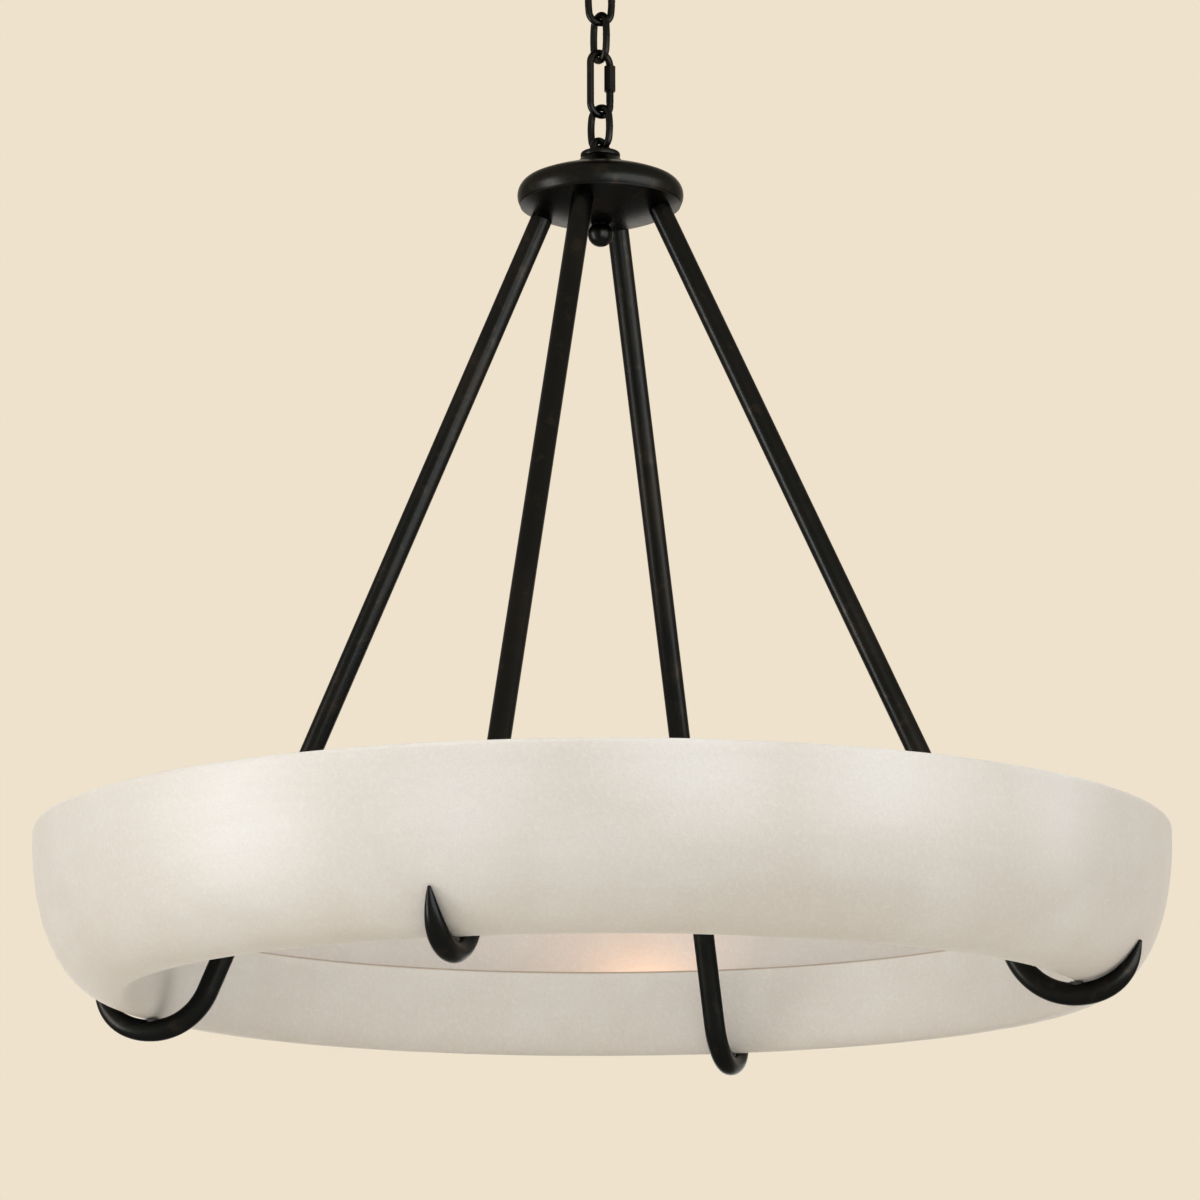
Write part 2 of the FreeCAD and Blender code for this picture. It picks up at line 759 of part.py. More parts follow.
def bracket_screw_place():
    along = lamp_place(bracket_foot_length - bracket_screw_inset).y
    return FreeCAD.Vector(math.sqrt(tray_middle_radius ** 2 - along ** 2), along, tray_top)


def lamp_bracket():
    back = lamp_place(-bracket_thickness).y
    middle = foot_middle().x
    half_foot = bracket_foot_width / 2
    shape = [
        (middle - half_foot, tray_top),
        (middle + half_foot, tray_top),
        (lamp_circle_radius + bracket_half_width, lamp_level - bracket_under_axis),
        (lamp_circle_radius + bracket_half_width, lamp_level + bracket_over_axis),
        (lamp_circle_radius - bracket_half_width, lamp_level + bracket_over_axis),
        (middle - half_foot, lamp_level - bracket_under_axis),
    ]
    plate = outline(*[FreeCAD.Vector(x, back, z) for x, z in shape])
    plate = plate.extrude(FreeCAD.Vector(0, bracket_thickness, 0))
    foot = Part.makeBox(bracket_foot_width, bracket_foot_length, bracket_thickness)
    foot.translate(FreeCAD.Vector(middle - half_foot, back + bracket_thickness, tray_top))
    screw = bracket_screw_place()
    bracket = plate.fuse(foot).removeSplitter()
    bracket = bracket.cut(rod(bracket_screw_radius + thread_gap, screw, screw + bracket_thickness * UP))
    return bracket.cut(lamp_rod(holder_stub_radius + thread_gap, -bracket_thickness, 0))


def bracket_screw():
    low = bracket_screw_place() - tray_wall * UP
    top = bracket_screw_place() + bracket_thickness * UP
    shank = rod(bracket_screw_radius, low, top)
    return shank.fuse(rod(bracket_screw_head_radius, top, top + bracket_screw_head_height * UP))


def holder_nut():
    nut = hexagon(holder_nut_across, holder_nut_height, 0)
    nut = nut.cut(rod(holder_stub_radius + thread_gap, AXIS, holder_nut_height * UP))
    nut.rotate(AXIS, FreeCAD.Vector(1, 0, 0), -90)
    nut.translate(lamp_place(-bracket_thickness - holder_nut_height))
    return nut


def bulb_cap():
    socket_floor = holder_length - holder_socket_depth
    contact = socket_floor + seat_gap
    shell = contact + cap_contact_length
    flange = holder_length + seat_gap
    cap = lamp_rod(cap_contact_radius, contact, shell)
    cap = cap.fuse(lamp_rod(cap_radius, shell, flange))
    return cap.fuse(lamp_rod(cap_flange_radius, flange, flange + cap_flange_height))


def bulb_profile(inset):
    """Half outline of the candle-shaped glass, drawn in by a wall."""
    tip = glass_length - inset
    curve = Part.BSplineCurve()
    curve.interpolate([
        point(glass_neck_radius - inset, 0),
        point(glass_shoulder_radius - inset, glass_shoulder_place),
        point(glass_radius - inset, glass_widest_place),
        point(glass_taper_radius - inset, glass_taper_place),
        point(0, tip),
    ])
    return curve.toShape()


def bulb_glass():
    inner_neck = point(glass_neck_radius - glass_wall, 0)
    shell = turned([
        bulb_profile(0),
        line(point(0, glass_length), point(0, glass_length - glass_wall)),
        bulb_profile(glass_wall),
        line(inner_neck, point(glass_neck_radius, 0)),
    ])
    shell.rotate(AXIS, FreeCAD.Vector(1, 0, 0), -90)
    shell.translate(lamp_place(holder_length + seat_gap + cap_flange_height))
    return shell


def lamp_tray():
    """A rolled channel, open below, that carries the brackets and hides the leads."""
    tray = turned_polygon(
        (tray_inner_radius, trough_floor),
        (tray_inner_radius, tray_top),
        (tray_outer_radius, tray_top),
        (tray_outer_radius, trough_floor),
        (tray_outer_radius - tray_wall, trough_floor),
        (tray_outer_radius - tray_wall, tray_top - tray_wall),
        (tray_inner_radius + tray_wall, tray_top - tray_wall),
        (tray_inner_radius + tray_wall, trough_floor),
    )
    screw = bracket_screw_place()
    hole = rod(bracket_screw_radius + thread_gap, screw - tray_wall * UP, screw)
    for index in range(lamp_count):
        tray = tray.cut(about_axis(hole, lamp_azimuth(index)))
    inlet = point(tray_middle_radius, tray_top)
    inlet = rod(conduit_radius + slip_gap, inlet - tray_wall * UP, inlet)
    return tray.cut(about_axis(inlet, feed_azimuth))


def feed_conduit():
    """The bent tube that takes the leads from one arm over the inner wall into the tray."""
    start = arm_point(conduit_along) + point(conduit_radius, 0)
    turn_start = point(tray_middle_radius - conduit_bend_radius, conduit_level)
    bend_centre = turn_start - conduit_bend_radius * UP
    turn_end = bend_centre + point(conduit_bend_radius, 0)
    end = point(tray_middle_radius, tray_top - conduit_into_tray)
    path = [line(start, turn_start), corner(bend_centre, conduit_bend_radius, 90, 0), line(turn_end, end)]
    tube = swept(path, conduit_radius, start, FreeCAD.Vector(1, 0, 0))
    return tube.cut(swept(path, conduit_bore_radius, start, FreeCAD.Vector(1, 0, 0)))


nodes = {
    "ceiling_strap": ceiling_strap(),
    "ground_screw": ground_screw(),
    "ceiling_nipple": ceiling_nipple(),
    "nipple_lock_nut": nipple_lock_nut(),
    "ceiling_loop": ceiling_loop(),
    "canopy": canopy(),
    "canopy_collar": canopy_collar(),
    "chain_link_1": about_axis(chain_link(link_1_top, link_length), link_1_turn),
    "chain_link_2": about_axis(chain_link(link_2_top, link_length), link_2_turn),
    "quick_link": about_axis(quick_link(), quick_link_turn),
    "quick_link_sleeve": about_axis(quick_link_sleeve(), quick_link_turn),
    "chain_link_3": about_axis(chain_link(link_3_top, last_link_length), link_3_turn),
    "hub_loop": hub_loop(),
    "hub_collar": hub_collar(),
    "hub_body": hub_body(),
    "hub_cover": hub_cover(),
    "hub_nipple": hub_nipple(),
    "hub_nut": hub_nut(),
    "finial": finial(),
    "arm_nuts": all_arms(arm_nut()),
    "alabaster_ring": alabaster_ring(),
    "lamp_tray": lamp_tray(),
    "feed_conduit": about_axis(feed_conduit(), feed_azimuth),
    "lampholders": all_lamps(lampholder()),
    "lamp_brackets": all_lamps(lamp_bracket()),
    "bracket_screws": all_lamps(bracket_screw()),
    "holder_nuts": all_lamps(holder_nut()),
}

for index in range(arm_count):
    azimuth = arm_azimuth(index)
    nodes[f"arm_neck_{index + 1}"] = about_axis(arm_neck(), azimuth)
    nodes[f"arm_tube_{index + 1}"] = about_axis(arm_tube(index == feed_arm), azimuth)
    nodes[f"hook_{index + 1}"] = about_axis(hook(), azimuth)
    nodes[f"hook_pad_{index + 1}"] = about_axis(hook_pad(), azimuth)

for index in range(lamp_count):
    azimuth = lamp_azimuth(index)
    nodes[f"bulb_cap_{index + 1}"] = about_axis(bulb_cap(), azimuth)
    nodes[f"bulb_glass_{index + 1}"] = about_axis(bulb_glass(), azimuth)

os.makedirs("parts", exist_ok=True)
for name, shape in nodes.items():
    shape.exportStep(f"parts/{name}.step")
    solids = len(shape.Solids)
    print(f"{name}: solids {solids}, valid {shape.isValid()}, volume {shape.Volume / 1000:.2f} cm3")

print(f"ring top at {ring_top:.1f}, lowest point {hook_low - arm_radius:.1f}")
print(f"arm tilt {math.degrees(arm_tilt):.2f} degrees, nodes {len(nodes)}")
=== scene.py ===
# %% [markdown]
# # An alabaster ring chandelier
# The object is a turned stone trough, nearly a metre across, carried by four dark hooked arms
# that lean out from a small hub on a chain. Its construction comes in as a fixed frame: every
# piece is already at its place and size, in metres, with the origin at the ceiling. This script
# gives the pieces their finish, turns the stone anew with a finer surface, adds threads, knurls,
# beads and screw heads, and sets up the camera and the light.

# %% Load the frame
import json
import math

import bpy
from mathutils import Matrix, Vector


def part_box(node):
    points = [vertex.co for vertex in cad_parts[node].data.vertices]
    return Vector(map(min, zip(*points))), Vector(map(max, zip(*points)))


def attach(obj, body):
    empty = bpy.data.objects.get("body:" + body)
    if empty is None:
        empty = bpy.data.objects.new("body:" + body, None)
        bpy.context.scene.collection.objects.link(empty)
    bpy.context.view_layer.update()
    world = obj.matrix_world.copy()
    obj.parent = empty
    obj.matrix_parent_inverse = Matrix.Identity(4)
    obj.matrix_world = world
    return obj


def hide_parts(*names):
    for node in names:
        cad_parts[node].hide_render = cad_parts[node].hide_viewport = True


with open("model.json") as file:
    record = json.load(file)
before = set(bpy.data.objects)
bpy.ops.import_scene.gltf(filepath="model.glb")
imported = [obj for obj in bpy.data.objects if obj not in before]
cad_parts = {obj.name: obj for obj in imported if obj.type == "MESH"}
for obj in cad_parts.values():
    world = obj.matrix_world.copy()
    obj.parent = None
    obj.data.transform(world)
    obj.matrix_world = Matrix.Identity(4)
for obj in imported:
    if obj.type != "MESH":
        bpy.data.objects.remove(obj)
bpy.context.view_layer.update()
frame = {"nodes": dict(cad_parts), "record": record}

nodes = frame["nodes"]
stone_low, stone_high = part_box("alabaster_ring")
scene = bpy.context.scene

# %% [markdown]
# ## The camera
# The photograph looks up at the ring from a little below it, through a long lens. The viewing
# distance, the height and the tilt were found by fitting the ring's rims, the hub and the arms
# to their places in the picture, so here they are plain numbers in metres and degrees. The focal
# length is given in the photograph's own pixels, and turned into millimetres for the sensor. The
# photograph hangs a hair off true, and the roll follows that. The rotation order puts the roll
# first, so that it turns the picture about its own middle.

# %% Camera
photo_pixels = 1200
focal_pixels = 5021.9
picture_middle_pixel = 601.5
camera_distance = 4.007
camera_level = -1.4136
camera_tilt_up = 11.754
camera_roll = -0.15
sensor_width_mm = 36.0

lens = bpy.data.cameras.new("photo_camera")
lens.sensor_width = sensor_width_mm
lens.lens = focal_pixels / photo_pixels * sensor_width_mm
lens.shift_x = (photo_pixels / 2 - picture_middle_pixel) / photo_pixels
camera = bpy.data.objects.new("photo_camera", lens)
camera.location = (0, -camera_distance, camera_level)
camera.rotation_mode = "ZYX"
camera.rotation_euler = (math.radians(90 + camera_tilt_up), 0, math.radians(camera_roll))
scene.collection.objects.link(camera)
scene.camera = camera
print(f"lens {lens.lens:.1f} mm")

# %% [markdown]
# ## Node trees as arithmetic
# A finish is a small formula: a colour that follows a noise, a roughness that follows the same
# noise less strongly. Linking nodes one by one hides that formula. This class wraps a socket so
# that sums and products of sockets can be written as they are thought, and each operator adds
# its Math node. Every other node, in a shader or in a Geometry Nodes tree, comes from one method
# that sets the node's own settings first and then its sockets.

# %% The wire class
class Wire:
    """A socket of a node tree. Arithmetic on wires adds Math nodes to the tree."""

    def __init__(self, tree, socket=None):
        self.tree = tree
        self.socket = socket

    def node(self, kind, settings=None, sockets=None, out=0):
        """One output of a new node. A socket takes a plain value or another wire."""
        made = self.tree.nodes.new(kind)
        for name, value in (settings or {}).items():
            setattr(made, name, value)
        for key, value in (sockets or {}).items():
            if isinstance(value, Wire):
                self.tree.links.new(value.socket, made.inputs[key])
            else:
                made.inputs[key].default_value = value
        return Wire(self.tree, made.outputs[out] if len(made.outputs) else None)

    def math(self, operation, *others):
        """A Math node that takes this wire first."""
        values = dict(enumerate((self, *others)))
        return self.node("ShaderNodeMath", {"operation": operation}, values)

    def __add__(self, other):
        return self.math("ADD", other)

    __radd__ = __add__

    def __sub__(self, other):
        return self.math("SUBTRACT", other)

    def __rsub__(self, other):
        return self.node("ShaderNodeMath", {"operation": "SUBTRACT"}, {0: other, 1: self})

    def __mul__(self, other):
        return self.math("MULTIPLY", other)

    __rmul__ = __mul__

    def __truediv__(self, other):
        return self.math("DIVIDE", other)

    def mix(self, first, second):
        """Two colours mixed by this wire."""
        settings = {"data_type": "RGBA"}
        return self.node("ShaderNodeMix", settings, {0: self, 6: first, 7: second}, out=2)

    def ramp(self, low, high):
        """This wire stretched so that low becomes 0 and high becomes 1, softly."""
        settings = {"interpolation_type": "SMOOTHSTEP"}
        sockets = {"Value": self, "From Min": low, "From Max": high}
        return self.node("ShaderNodeMapRange", settings, sockets)


# %% [markdown]
# ## Starting and closing a finish
# All finishes read Object coordinates. The pieces sit at the origin with their place in their
# vertices, so those coordinates are metres from the ceiling point, and a noise keeps its real
# scale on every piece. What varies goes to colour, roughness and relief. What is the same all
# over is set on the shader's own sockets.

# %% Finish helpers
def start_finish(name):
    material = bpy.data.materials.new(name)
    material.use_nodes = True
    material.node_tree.nodes.clear()
    return material, Wire(material.node_tree)


def metres(wire, stretch=(1, 1, 1)):
    """Object coordinates, stretched along the axes."""
    place = wire.node("ShaderNodeTexCoord", out="Object")
    return wire.node("ShaderNodeMapping", None, {"Vector": place, "Scale": stretch})


def noise(place, scale, detail=2.0, roughness=0.5, distortion=0.0):
    """Soft noise with so many lumps to the metre."""
    sockets = {"Vector": place, "Scale": scale, "Detail": detail, "Roughness": roughness,
               "Distortion": distortion}
    return place.node("ShaderNodeTexNoise", None, sockets)


def relief(height, depth, strength):
    """A bump of so many metres from a height between 0 and 1."""
    sockets = {"Height": height, "Distance": depth, "Strength": strength}
    return height.node("ShaderNodeBump", None, sockets, out="Normal")


def close_finish(material, wire, sockets):
    shader = wire.node("ShaderNodeBsdfPrincipled", None, sockets)
    wire.node("ShaderNodeOutputMaterial", None, {"Surface": shader})
    return material


def rgb(*linear):
    return (*linear, 1.0)


# %% [markdown]
# ## Alabaster
# The stone is honed, not polished: a pale, slightly warm grey, with whiter clouds as large as a
# hand, faint streaks that run level because the block was turned on edge, and a fine crystal
# grain like coarse paper. Light goes a short way into it, which a little subsurface scattering
# gives. Noise alone would put the clouds anywhere. Five of them show plainly on the front of the
# real stone, so those are listed, each as a centre and a reach, and a noise frays their edges.
# Only the two finest noises make relief, so that the outline stays true. A thin dark brown line of
# painted shade runs along the sharp edge of the low inner wall, where its lip is in shadow. All
# these tints lie over one another like thin glazes, so they are listed in order, each with its
# mask, its strength and its tone.

# %% Alabaster
front_clouds = (
    ((-0.260, -0.373, -0.833), 0.115),
    ((-0.102, -0.443, -0.832), 0.105),
    ((0.063, -0.450, -0.804), 0.095),
    ((0.210, -0.403, -0.803), 0.105),
    ((0.347, -0.296, -0.800), 0.080),
)
cloud_fray = 0.10
cloud_strength = 0.65
ring_width = 0.0847
inner_wall_height = 0.073
outer_radius = stone_high.x
inner_radius = outer_radius - ring_width
inner_rim = stone_low.z + inner_wall_height
# Where the painted shade lies: a band a few millimetres high along the top of the low inner wall's
# lip, which is in shadow.
rim_shade_start = inner_rim - 0.0030
rim_shade_full = inner_rim - 0.0012
rim_shade_end = inner_radius + 0.005
rim_shade_fade = 0.001


def alabaster():
    material, wire = start_finish("alabaster")
    place = metres(wire)
    veils = noise(place, 15.0, detail=4.0, roughness=0.6)
    clouds = noise(place, 5.2, detail=3.0, distortion=0.4).ramp(0.46, 0.74) * 0.45
    for centre, reach in front_clouds:
        settings = {"operation": "DISTANCE"}
        away = place.node("ShaderNodeVectorMath", settings, {0: place, 1: centre}, out="Value")
        cloud = (away + (veils - 0.5) * cloud_fray).ramp(reach, 0.0) * cloud_strength
        clouds = clouds.math("MAXIMUM", cloud)
    streaks = noise(metres(wire, (1, 1, 7)), 7.0, detail=5.0, roughness=0.62).ramp(0.45, 0.78)
    crystals = noise(place, 260.0, detail=3.0, roughness=0.6)
    grain = noise(place, 760.0, detail=3.0, roughness=0.7)
    level = place.node("ShaderNodeSeparateXYZ", None, {0: place}, out="Z")
    settings = {"operation": "LENGTH"}
    sideways = metres(wire, (1, 1, 0))
    from_axis = place.node("ShaderNodeVectorMath", settings, {0: sideways}, out="Value")
    # Mask of the painted shade on the lip of the low inner wall.
    painted_rim_shade = level.ramp(rim_shade_start, rim_shade_full) * from_axis.ramp(rim_shade_end, rim_shade_end - rim_shade_fade)
    white = rgb(0.820, 0.808, 0.782)
    colour = clouds.mix(rgb(0.690, 0.645, 0.585), white)
    glazes = (
        (veils.ramp(0.40, 0.72), 0.18, white),
        (streaks, 0.18, rgb(0.585, 0.540, 0.480)),
        (crystals.ramp(0.46, 0.70), 0.16, rgb(0.88, 0.87, 0.84)),
        (grain.ramp(0.40, 0.68), 0.17, rgb(0.50, 0.465, 0.415)),
        # The painted shade of the inner wall's lip, in dark brown.
        (painted_rim_shade, 0.75, rgb(0.28, 0.19, 0.10)),
    )
    for mask, strength, tone in glazes:
        colour = (mask * strength).mix(colour, tone)
    return close_finish(material, wire, {
        "Base Color": colour,
        "Roughness": grain * 0.16 + (crystals * 0.10 + 0.42),
        "Normal": relief(grain * 0.6 + crystals, depth=0.0004, strength=0.6),
        "IOR": 1.45,
        "Subsurface Weight": 0.15,
        "Subsurface Radius": (0.006, 0.0045, 0.003),
        "Subsurface Scale": 1.0,
    })


# %% [markdown]
# ## Blackened bronze
# The arms, hub and chain are almost black, with brown showing where hands and tools have rubbed
# them, and a satin gloss that breaks up slightly. One black all over would look like plastic, so
# a cool one and a brown one come and go on a slow noise, and a tight noise dulls the gloss in
# small patches. The patina is set as a very dark metal: a plain black paint would mirror the pale
# backdrop along both edges of every rod and make it look thinner. The grey specular tint holds
# that mirroring back further, and still leaves the edges a faint light.

# %% Blackened bronze
def dark_bronze():
    material, wire = start_finish("dark_bronze")
    place = metres(wire)
    slow = noise(place, 14.0, detail=3.0).ramp(0.42, 0.70)
    rubbed = noise(place, 70.0, detail=4.0, roughness=0.6).ramp(0.55, 0.72) * 0.50
    tight = noise(place, 420.0)
    patina = slow.mix(rgb(0.0118, 0.0127, 0.0126), rgb(0.0160, 0.0152, 0.0138))
    return close_finish(material, wire, {
        "Base Color": rubbed.mix(patina, rgb(0.032, 0.026, 0.021)),
        "Roughness": slow * 0.07 + tight * 0.12 + 0.24,
        "Normal": relief(tight, depth=0.00012, strength=0.4),
        "Metallic": 1.0,
        "Specular Tint": rgb(0.56, 0.56, 0.56),
    })


# %% [markdown]
# ## The small finishes
# Zinc-plated hardware, a green earth screw, white enamel on the lamp tray, unglazed porcelain
# holders, black rubber pads and brass lamp caps. Each has a small noise of its own in colour and
# gloss, at the scale of the piece, because all of these parts are only millimetres across. The
# glass of the lamps is frosted, and glows warm and dim.

# %% Small finishes
def small_finish(name, tones, lumps, roughness, metallic, depth):
    """Two close tones on one noise, which also varies gloss, and fine relief."""
    material, wire = start_finish(name)
    place = metres(wire)
    patches = noise(place, lumps, detail=4.0, roughness=0.6)
    fine = noise(place, lumps * 6)
    return close_finish(material, wire, {
        "Base Color": patches.ramp(0.35, 0.68).mix(*tones),
        "Roughness": (fine + patches) * 0.12 + roughness,
        "Normal": relief(fine, depth, strength=0.5),
        "Metallic": metallic,
    })


def bulb_glass():
    material, wire = start_finish("bulb_glass")
    frost = noise(metres(wire), 260.0, detail=3.0)
    return close_finish(material, wire, {
        "Base Color": frost.mix(rgb(0.90, 0.82, 0.70), rgb(0.95, 0.88, 0.78)),
        "Roughness": frost * 0.2 + 0.35,
        "Emission Color": frost.ramp(0.2, 0.8).mix(rgb(1.0, 0.46, 0.20), rgb(1.0, 0.53, 0.27)),
        "Emission Strength": 4.4,
        "Normal": relief(frost, depth=0.00008, strength=0.4),
    })


finishes = {
    "alabaster": alabaster(),
    "dark_bronze": dark_bronze(),
    "plated_steel": small_finish(
        "plated_steel", (rgb(0.52, 0.52, 0.50), rgb(0.62, 0.61, 0.57)),
        lumps=160, roughness=0.28, metallic=0.95, depth=0.00006),
    "green_screw": small_finish(
        "green_screw", (rgb(0.03, 0.22, 0.07), rgb(0.05, 0.30, 0.10)),
        lumps=240, roughness=0.32, metallic=0.2, depth=0.00005),
    "white_enamel": small_finish(
        "white_enamel", (rgb(0.76, 0.75, 0.71), rgb(0.82, 0.81, 0.77)),
        lumps=50, roughness=0.34, metallic=0.0, depth=0.00006),
    "porcelain": small_finish(
        "porcelain", (rgb(0.74, 0.73, 0.69), rgb(0.83, 0.82, 0.78)),
        lumps=120, roughness=0.48, metallic=0.0, depth=0.00008),
    "pad_rubber": small_finish(
        "pad_rubber", (rgb(0.016, 0.016, 0.016), rgb(0.028, 0.027, 0.026)),
        lumps=300, roughness=0.70, metallic=0.0, depth=0.00010),
    "brass_cap": small_finish(
        "brass_cap", (rgb(0.60, 0.44, 0.18), rgb(0.72, 0.56, 0.28)),
        lumps=220, roughness=0.24, metallic=1.0, depth=0.00005),
    "bulb_glass": bulb_glass(),
}
print("finishes:", ", ".join(finishes))

# %% [markdown]
# ## Dressing the frame
# The record says which finish each node takes. The frame's own material is swapped for the
# finish of that name, and the node itself stays as it is.

# %% Dress the nodes
for part in frame["record"]["subparts"]:
    piece = nodes[part["node"]].data
    piece.materials.clear()
    piece.materials.append(finishes[part["material_slot"]])

# %% [markdown]
# ## Geometry Nodes from a script
# What repeats, or follows a path, is better made by a rule than by hand: a thread, a knurl, six
# screws. A Geometry Nodes tree states such a rule once, with its sizes as named inputs. These
# helpers start a tree, close it with smooth shading, real geometry instead of instances and a
# finish, and then run it once and keep the plain mesh, because the model that is handed on can
# hold no live trees. An angle says which edges of that mesh stay crisp.

# %% Tree helpers
crisp_edge = math.radians(40)
socket_kinds = {int: "NodeSocketInt", float: "NodeSocketFloat", tuple: "NodeSocketVector"}


def start_tree(name, inputs):
    """A tree, the geometry that goes into it, and a wire for each named input."""
    tree = bpy.data.node_groups.new(name, "GeometryNodeTree")
    tree.interface.new_socket("Start", in_out="INPUT", socket_type="NodeSocketGeometry")
    for label, kind in inputs.items():
        tree.interface.new_socket(label, in_out="INPUT", socket_type=socket_kinds[kind])
    tree.interface.new_socket("Result", in_out="OUTPUT", socket_type="NodeSocketGeometry")
    start = Wire(tree).node("NodeGroupInput")
    outlets = start.socket.node.outputs
    return tree, start, {label: Wire(tree, outlets[label]) for label in inputs}


def close_tree(shape, finish):
    shape = shape.node("GeometryNodeSetShadeSmooth", None, {"Geometry": shape})
    shape = shape.node("GeometryNodeRealizeInstances", None, {"Geometry": shape})
    dressing = {"Geometry": shape, "Material": finishes[finish]}
    shape = shape.node("GeometryNodeSetMaterial", None, dressing)
    shape.node("NodeGroupOutput", None, {"Result": shape})


def run_tree(name, tree, sizes, start=None):
    """The tree's result with these sizes, as a plain mesh object at the origin."""
    carrier = bpy.data.objects.new(name, start or bpy.data.meshes.new(name))
    scene.collection.objects.link(carrier)
    modifier = carrier.modifiers.new(name, "NODES")
    modifier.node_group = tree
    for item in tree.interface.items_tree:
        if item.in_out == "INPUT" and item.name in sizes:
            modifier[item.identifier] = sizes[item.name]
    view = bpy.context.evaluated_depsgraph_get()
    mesh = bpy.data.meshes.new_from_object(carrier.evaluated_get(view))
    bpy.data.objects.remove(carrier)
    mesh.set_sharp_from_angle(angle=crisp_edge)
    piece = bpy.data.objects.new(name, mesh)
    scene.collection.objects.link(piece)
    print(f"{name}: {len(mesh.vertices)} points, {len(mesh.polygons)} faces")
    return piece


def settle(piece, body):
    """Let a piece ride on a body."""
    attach(piece, body)


# %% [markdown]
# ## Turning on a lathe
# The stone was turned: one outline, spun about the upright axis. The Screw modifier could do it,
# but a tree of our own keeps the seam closed and can add the slight hollows that hand rubbing
# leaves. The outline goes in as a row of points, and it runs anticlockwise so that the faces look
# outwards. The tree lays a grid of points, takes each one's radius and height from the outline by
# its row, turns it about the axis by its column, and welds the seam. An outline that begins and
# ends on the axis leaves a bare edge there, which is deleted. Last, a noise presses the surface
# in by less than a millimetre.

# %% The lathe tree
weld_distance = 0.00002
lathe, outline_in, size = start_tree("lathe", {
    "Columns": int, "Hollow depth": float, "Hollows per metre": float,
})
counting = {"Geometry": outline_in}
count = outline_in.node("GeometryNodeAttributeDomainSize", None, counting, out="Point Count")
rows = count + 1
mesh_size = {"Vertices X": size["Columns"] + 1, "Vertices Y": rows}
grid = count.node("GeometryNodeMeshGrid", None, mesh_size)
index = count.node("GeometryNodeInputIndex")
column = (index / rows).math("FLOOR")
row = (index - column * rows).math("MODULO", count)
spot = count.node("GeometryNodeInputPosition")
sampling = {"Geometry": outline_in, "Value": spot, "Index": row}
drawn = count.node("GeometryNodeSampleIndex", {"data_type": "FLOAT_VECTOR"}, sampling)
radius = count.node("ShaderNodeSeparateXYZ", None, {0: drawn}, out="X")
height = count.node("ShaderNodeSeparateXYZ", None, {0: drawn}, out="Z")
turn = column / size["Columns"] * math.tau
spun = count.node("ShaderNodeCombineXYZ", None, {
    "X": radius * turn.math("COSINE"),
    "Y": radius * turn.math("SINE"),
    "Z": height,
})
shape = count.node("GeometryNodeSetPosition", None, {"Geometry": grid, "Position": spun})
welding = {"Geometry": shape, "Distance": weld_distance}
shape = count.node("GeometryNodeMergeByDistance", None, welding)
bare_edges = 1 - count.node("GeometryNodeInputMeshEdgeNeighbors")
deleting = {"Geometry": shape, "Selection": bare_edges}
shape = count.node("GeometryNodeDeleteGeometry", {"domain": "EDGE"}, deleting)
lumps = noise(spot, size["Hollows per metre"], detail=1.0)
inward = count.node("ShaderNodeVectorMath", {"operation": "SCALE"}, {
    0: count.node("GeometryNodeInputNormal"),
    "Scale": lumps * size["Hollow depth"] * -1,
})
shape = count.node("GeometryNodeSetPosition", None, {"Geometry": shape, "Offset": inward})
close_tree(shape, "alabaster")
print(f"lathe tree: {len(lathe.nodes)} nodes")

# %% [markdown]
# ## The stone ring
# Seen in section the ring is a trough: a high outer wall that curves under like the side of a
# bowl, a foot, and a low inner wall. Three rounded quarter ovals give the curves, and small
# quarter circles round the two lips. The overall sizes are read from the frame, so that the new
# stone lies on the solid one, which it replaces in the picture. The outline is put together from
# the outer wall down, under the foot, over the inner wall and through the trough. That is
# clockwise, so it is reversed at the end.

# %% The ring's outline
foot_radius = inner_radius + 0.0137
wall = 0.012
lip = 0.0045
trough_corner = 0.002
floor_thickness = 0.013
floor_width = 0.012
outside_roundness = 2.2
inside_roundness = 2.0
wall_face = inner_radius + wall
floor_start = wall_face + trough_corner
floor_end = floor_start + floor_width
trough_floor = stone_low.z + floor_thickness
corner_level = trough_floor + trough_corner
outer_spring = stone_high.z - lip
inner_spring = inner_rim - lip


def oval_quarter(middle, half_width, half_height, roundness, steps):
    """Points from the side of a rounded oval down to its foot."""
    points = []
    for step in range(steps + 1):
        angle = math.pi / 2 * step / steps
        across = half_width * max(math.cos(angle), 0) ** (2 / roundness)
        down = half_height * math.sin(angle) ** (2 / roundness)
        points.append((middle[0] + across, middle[1] - down))
    return points


def round_lip(middle, radius, first, last, steps=6):
    """Points on a circle between two angles in degrees."""
    angles = [math.radians(first + (last - first) * step / steps) for step in range(steps + 1)]
    return [(middle[0] + radius * math.cos(a), middle[1] + radius * math.sin(a)) for a in angles]


def straight(start, end, steps):
    """Points between two ends, without the ends."""
    across, up = end[0] - start[0], end[1] - start[1]
    shares = [step / steps for step in range(1, steps)]
    return [(start[0] + across * share, start[1] + up * share) for share in shares]


